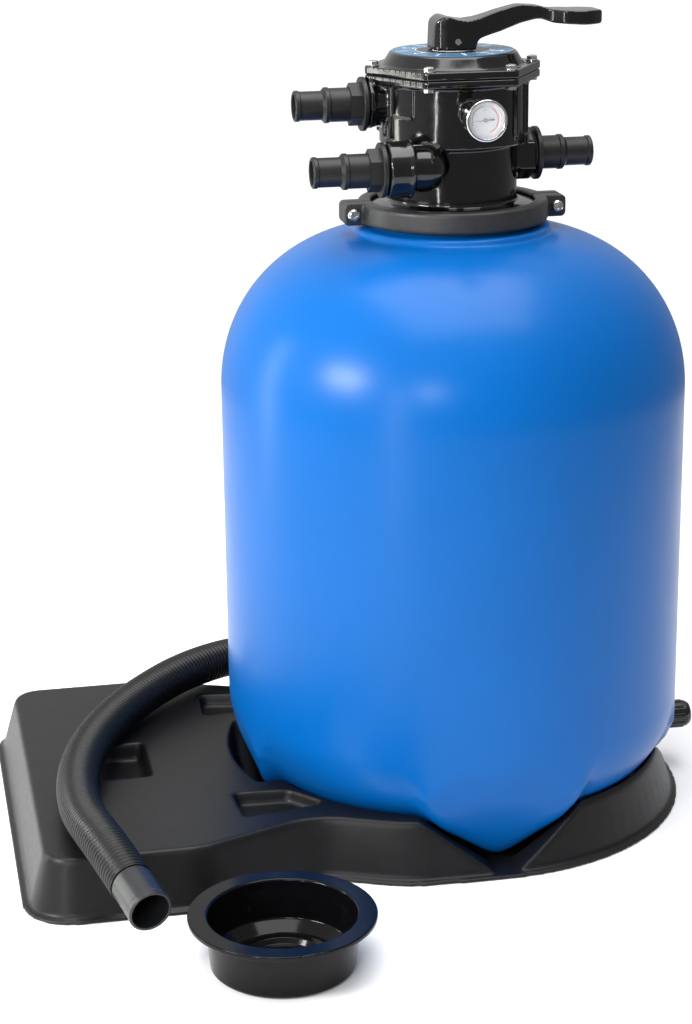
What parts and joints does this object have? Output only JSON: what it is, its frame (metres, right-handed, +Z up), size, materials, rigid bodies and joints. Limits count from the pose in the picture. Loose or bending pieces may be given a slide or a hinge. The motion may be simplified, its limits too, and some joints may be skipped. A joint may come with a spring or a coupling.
{
  "type": "pool sand filter",
  "caption": "Blue moulded sand filter tank on a black base with pump platform, topped by a multi-way valve with lever, gauge and hose tails; with drain, loose hose and cup.",
  "frame": {"origin": "underside of the base's well floor, on the tank's axis, at floor level", "axes": "+Z up, -X towards the pump platform, +X towards the drain, -Y towards the gauge"},
  "size_m": [0.784, 0.8407, 0.8712],
  "materials": {
    "tank": "satin moulded",
    "base": "fine textured black",
    "valve_body": "polished black",
    "valve_cover": "polished black",
    "handle": "polished black",
    "label": "printed blue",
    "clamp": "satin dark grey",
    "tail": "satin black",
    "seal": "matte",
    "stainless": "bright",
    "chrome": "polished",
    "brass": "turned",
    "dial": "white print",
    "needle": "black",
    "glass": "clear",
    "inner_plastic": "natural white",
    "inner_black": "moulded",
    "drain": "satin black",
    "cup": "polished black",
    "hose": "corrugated black",
    "cuff": "smooth black"
  },
  "bodies": {
    "root": {"tank": "tank", "base": "base", "neck_seal": "seal", "clamp_front": "clamp", "clamp_rear": "clamp", "clamp_bolts": "stainless", "clamp_nuts": "stainless", "valve_body": "valve_body", "valve_cover": "valve_cover", "cover_seal": "seal", "cover_bolts": "stainless", "cover_nuts": "stainless", "label_disc": "label", "spider_gasket": "seal", "gauge_case": "chrome", "gauge_stem": "brass", "gauge_dial": "dial", "gauge_lens": "glass", "gauge_bezel": "chrome", "tail_seal_pump": "seal", "tail_seal_waste": "seal", "tail_seal_return": "seal", "hose_tail_pump": "tail", "hose_tail_waste": "tail", "hose_tail_return": "tail", "drain_gasket": "seal", "drain_fitting": "drain", "drain_locknut": "drain", "standpipe": "inner_plastic", "lateral_hub": "inner_plastic", "laterals": "inner_plastic", "diffuser": "inner_plastic", "hose": "hose", "hose_cuff_front": "cuff", "hose_cuff_rear": "cuff"},
    "selector": {"thrust_washer": "inner_plastic", "rotor_spring": "stainless"},
    "rotor_shaft": {"rotor": "inner_black", "spindle": "inner_black", "spindle_seals": "seal", "handle_pin": "stainless"},
    "lever": {"handle": "handle"},
    "pointer": {"gauge_needle": "needle"},
    "cap": {"drain_cap": "drain", "drain_cap_seal": "seal"},
    "loose_cup": {"cup": "cup"}
  },
  "joints": [
    {"name": "selector_turn", "type": "hinge", "parent": "root", "child": "selector", "pos_m": [0, 0, 0.826], "axis": [0, 0, 1], "continuous": true},
    {"name": "rotor_lift", "type": "slide", "parent": "selector", "child": "rotor_shaft", "axis": [0, 0, 1], "range_m": [0, 0.005], "deforming": ["rotor_spring"]},
    {"name": "handle_press", "type": "hinge", "parent": "rotor_shaft", "child": "lever", "pos_m": [0, 0, 0.8367], "axis": [0, 1, 0], "range_deg": [0, 14], "stiffness_Nm_per_rad": 4, "springref_deg": -17.19},
    {"name": "gauge_reading", "type": "hinge", "parent": "root", "child": "pointer", "pos_m": [0, -0.135, 0.7715], "axis": [0, 1, 0], "range_deg": [-19, 252], "stiffness_Nm_per_rad": 0.0001},
    {"name": "drain_cap_off", "type": "slide", "parent": "root", "child": "cap", "axis": [1, 0, 0], "range_m": [0, 0.04]},
    {"name": "cup_lift", "type": "slide", "parent": "root", "child": "loose_cup", "axis": [0, 0, 1], "range_m": [0, 0.2]}
  ],
  "couplings": [
    {"joint": "rotor_lift", "follows": "handle_press", "m_per_rad": 0.02}
  ]
}
